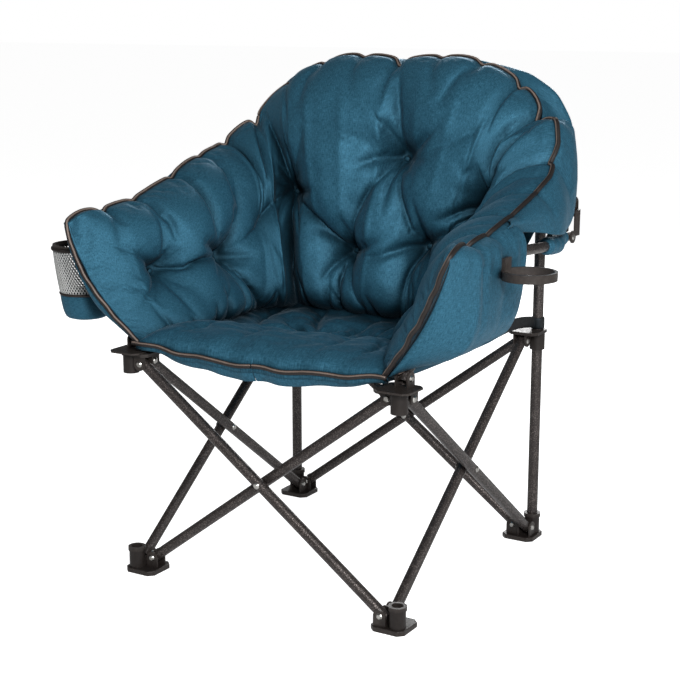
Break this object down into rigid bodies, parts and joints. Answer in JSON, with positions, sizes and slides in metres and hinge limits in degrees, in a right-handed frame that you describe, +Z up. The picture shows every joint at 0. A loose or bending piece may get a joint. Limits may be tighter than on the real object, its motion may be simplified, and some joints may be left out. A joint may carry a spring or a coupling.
{
  "type": "padded folding camp chair",
  "caption": "Padded folding camp chair with a tufted bucket seat, crossing tube legs, a folding back bow, swinging arms, a mesh cup holder and a cup ring.",
  "frame": {"origin": "on the floor, midway between the four feet", "axes": "+Z up, -Y towards the front of the chair, +X to its right as seen from the front"},
  "size_m": [0.9158, 0.557, 0.8623],
  "materials": {
    "tube": "dark bronze hammer paint on steel tube",
    "moulding": "dark brown-black moulded plastic",
    "rivet": "bright steel rivet",
    "cloth": "teal-blue heathered polyester with a satin sheen",
    "webbing": "dark woven webbing",
    "mesh": "pale open mesh",
    "trim": "dark moulded rim"
  },
  "bodies": {
    "front_right_foot": {"foot_front_right": "moulding", "foot_rivets_front_right": "rivet"},
    "rear_right_foot": {"foot_rear_right": "moulding", "foot_rivets_rear_right": "rivet", "post_right": "tube", "bracket_right": "moulding"},
    "rear_left_foot": {"foot_rear_left": "moulding", "foot_rivets_rear_left": "rivet", "post_left": "tube", "bracket_left": "moulding"},
    "front_left_foot": {"foot_front_left": "moulding", "foot_rivets_front_left": "rivet"},
    "front_right_hub": {"hub_front_right": "moulding", "hub_rivets_front_right": "rivet", "arm_foot_right": "moulding"},
    "rear_right_hub": {"hub_rear_right": "moulding", "hub_rivets_rear_right": "rivet", "corner_strap_right": "webbing"},
    "rear_left_hub": {"hub_rear_left": "moulding", "hub_rivets_rear_left": "rivet", "corner_strap_left": "webbing"},
    "front_left_hub": {"hub_front_left": "moulding", "hub_rivets_front_left": "rivet", "arm_foot_left": "moulding"},
    "front_outer_bar": {"bar_front_outer": "tube", "cross_rivet_front": "rivet"},
    "front_inner_bar": {"bar_front_inner": "tube"},
    "right_outer_bar": {"bar_right_outer": "tube", "cross_rivet_right": "rivet"},
    "right_inner_bar": {"bar_right_inner": "tube"},
    "rear_outer_bar": {"bar_rear_outer": "tube", "cross_rivet_rear": "rivet"},
    "rear_inner_bar": {"bar_rear_inner": "tube"},
    "left_outer_bar": {"bar_left_outer": "tube", "cross_rivet_left": "rivet"},
    "left_inner_bar": {"bar_left_inner": "tube"},
    "left_bow": {"bow_left": "tube", "back_skin_left": "cloth", "back_pad_left": "cloth", "bow_knuckle": "moulding", "bow_rivets": "rivet"},
    "left_arm": {"arm_rail_left": "tube", "arm_sleeve_left": "cloth", "arm_pad_left": "cloth", "arm_panel_left": "cloth", "cup_rim": "trim", "cup_mesh": "mesh", "cup_base": "cloth"},
    "left_upright": {"arm_upright_left": "tube"},
    "left_seat": {"seat_pad_left": "cloth"},
    "right_bow": {"bow_right": "tube", "back_skin_right": "cloth", "back_pad_right": "cloth"},
    "right_arm": {"arm_rail_right": "tube", "arm_sleeve_right": "cloth", "arm_pad_right": "cloth", "arm_panel_right": "cloth", "cup_ring": "trim"},
    "right_upright": {"arm_upright_right": "tube"},
    "right_seat": {"seat_pad_right": "cloth"}
  },
  "joints": [
    {"name": "fold", "type": "hinge", "parent": "rear_left_foot", "child": "rear_outer_bar", "pos_m": [-0.23, 0.23, 0.024], "axis": [0, -1, 0], "range_deg": [0, 32], "deforming": ["seat_pad_left", "seat_pad_right", "back_pad_left", "back_pad_right", "back_skin_left", "back_skin_right", "arm_pad_left", "arm_pad_right", "arm_panel_left", "arm_panel_right"]},
    {"name": "rear_cross", "type": "hinge", "parent": "rear_outer_bar", "child": "rear_inner_bar", "pos_m": [0, 0.23, 0.197], "axis": [0, -1, 0], "range_deg": [-64, 0]},
    {"name": "rear_right_hub_pin", "type": "hinge", "parent": "rear_outer_bar", "child": "rear_right_hub", "pos_m": [0.23, 0.23, 0.37], "axis": [0, -1, 0], "range_deg": [-32, 0]},
    {"name": "rear_left_hub_pin", "type": "hinge", "parent": "rear_inner_bar", "child": "rear_left_hub", "pos_m": [-0.23, 0.23, 0.37], "axis": [0, -1, 0], "range_deg": [0, 32]},
    {"name": "rear_right_foot_pin", "type": "hinge", "parent": "rear_inner_bar", "child": "rear_right_foot", "pos_m": [0.23, 0.23, 0.024], "axis": [0, -1, 0], "range_deg": [0, 32]},
    {"name": "left_inner_foot_pin", "type": "hinge", "parent": "rear_left_foot", "child": "left_inner_bar", "pos_m": [-0.23, 0.23, 0.024], "axis": [1, 0, 0], "range_deg": [-32, 0]},
    {"name": "left_cross", "type": "hinge", "parent": "left_inner_bar", "child": "left_outer_bar", "pos_m": [-0.23, 0, 0.197], "axis": [1, 0, 0], "range_deg": [0, 64]},
    {"name": "front_left_hub_pin", "type": "hinge", "parent": "left_inner_bar", "child": "front_left_hub", "pos_m": [-0.23, -0.23, 0.37], "axis": [1, 0, 0], "range_deg": [0, 32]},
    {"name": "front_left_foot_pin", "type": "hinge", "parent": "left_outer_bar", "child": "front_left_foot", "pos_m": [-0.23, -0.23, 0.024], "axis": [1, 0, 0], "range_deg": [-32, 0]},
    {"name": "right_outer_foot_pin", "type": "hinge", "parent": "rear_right_foot", "child": "right_outer_bar", "pos_m": [0.23, 0.23, 0.024], "axis": [-1, 0, 0], "range_deg": [0, 32]},
    {"name": "right_cross", "type": "hinge", "parent": "right_outer_bar", "child": "right_inner_bar", "pos_m": [0.23, 0, 0.197], "axis": [-1, 0, 0], "range_deg": [-64, 0]},
    {"name": "front_right_hub_pin", "type": "hinge", "parent": "right_outer_bar", "child": "front_right_hub", "pos_m": [0.23, -0.23, 0.37], "axis": [-1, 0, 0], "range_deg": [-32, 0]},
    {"name": "front_right_foot_pin", "type": "hinge", "parent": "right_inner_bar", "child": "front_right_foot", "pos_m": [0.23, -0.23, 0.024], "axis": [-1, 0, 0], "range_deg": [0, 32]},
    {"name": "front_outer_foot_pin", "type": "hinge", "parent": "front_right_foot", "child": "front_outer_bar", "pos_m": [0.23, -0.23, 0.024], "axis": [0, 1, 0], "range_deg": [0, 32]},
    {"name": "front_cross", "type": "hinge", "parent": "front_outer_bar", "child": "front_inner_bar", "pos_m": [0, -0.23, 0.197], "axis": [0, 1, 0], "range_deg": [-64, 0]},
    {"name": "left_bow_pivot", "type": "hinge", "parent": "rear_left_foot", "child": "left_bow", "pos_m": [-0.31, 0.256, 0.619], "axis": [0, -1, 0], "range_deg": [0, 25.33]},
    {"name": "left_arm_pivot", "type": "hinge", "parent": "rear_left_foot", "child": "left_arm", "pos_m": [-0.315, 0.235, 0.562], "axis": [-1, 0, 0], "range_deg": [0, 47.68]},
    {"name": "left_upright_pivot", "type": "hinge", "parent": "front_left_hub", "child": "left_upright", "pos_m": [-0.256, -0.24, 0.404], "axis": [1, 0, 0], "range_deg": [0, 33.86]},
    {"name": "left_seat_hang", "type": "hinge", "parent": "rear_left_hub", "child": "left_seat", "pos_m": [-0.23, 0, 0.393], "axis": [0, 1, 0], "range_deg": [0, 64]},
    {"name": "right_bow_pivot", "type": "hinge", "parent": "rear_right_foot", "child": "right_bow", "pos_m": [0.31, 0.256, 0.619], "axis": [0, 1, 0], "range_deg": [0, 25.33]},
    {"name": "right_arm_pivot", "type": "hinge", "parent": "rear_right_foot", "child": "right_arm", "pos_m": [0.315, 0.235, 0.562], "axis": [-1, 0, 0], "range_deg": [0, 47.68]},
    {"name": "right_upright_pivot", "type": "hinge", "parent": "front_right_hub", "child": "right_upright", "pos_m": [0.256, -0.24, 0.404], "axis": [1, 0, 0], "range_deg": [0, 33.86]},
    {"name": "right_seat_hang", "type": "hinge", "parent": "rear_right_hub", "child": "right_seat", "pos_m": [0.23, 0, 0.393], "axis": [0, -1, 0], "range_deg": [0, 64]}
  ],
  "couplings": [
    {"joint": "rear_cross", "follows": "fold", "ratio": -2},
    {"joint": "rear_right_hub_pin", "follows": "fold", "ratio": -1},
    {"joint": "rear_left_hub_pin", "follows": "fold", "ratio": 1},
    {"joint": "rear_right_foot_pin", "follows": "fold", "ratio": 1},
    {"joint": "left_inner_foot_pin", "follows": "fold", "ratio": -1},
    {"joint": "left_cross", "follows": "fold", "ratio": 2},
    {"joint": "front_left_hub_pin", "follows": "fold", "ratio": 1},
    {"joint": "front_left_foot_pin", "follows": "fold", "ratio": -1},
    {"joint": "right_outer_foot_pin", "follows": "fold", "ratio": 1},
    {"joint": "right_cross", "follows": "fold", "ratio": -2},
    {"joint": "front_right_hub_pin", "follows": "fold", "ratio": -1},
    {"joint": "front_right_foot_pin", "follows": "fold", "ratio": 1},
    {"joint": "front_outer_foot_pin", "follows": "fold", "ratio": 1},
    {"joint": "front_cross", "follows": "fold", "ratio": -2},
    {"joint": "left_bow_pivot", "follows": "fold", "ratio": 0.7915},
    {"joint": "left_arm_pivot", "follows": "fold", "ratio": 1.49},
    {"joint": "left_upright_pivot", "follows": "fold", "ratio": 1.058},
    {"joint": "left_seat_hang", "follows": "fold", "ratio": 2},
    {"joint": "right_bow_pivot", "follows": "fold", "ratio": 0.7915},
    {"joint": "right_arm_pivot", "follows": "fold", "ratio": 1.49},
    {"joint": "right_upright_pivot", "follows": "fold", "ratio": 1.058},
    {"joint": "right_seat_hang", "follows": "fold", "ratio": 2}
  ]
}
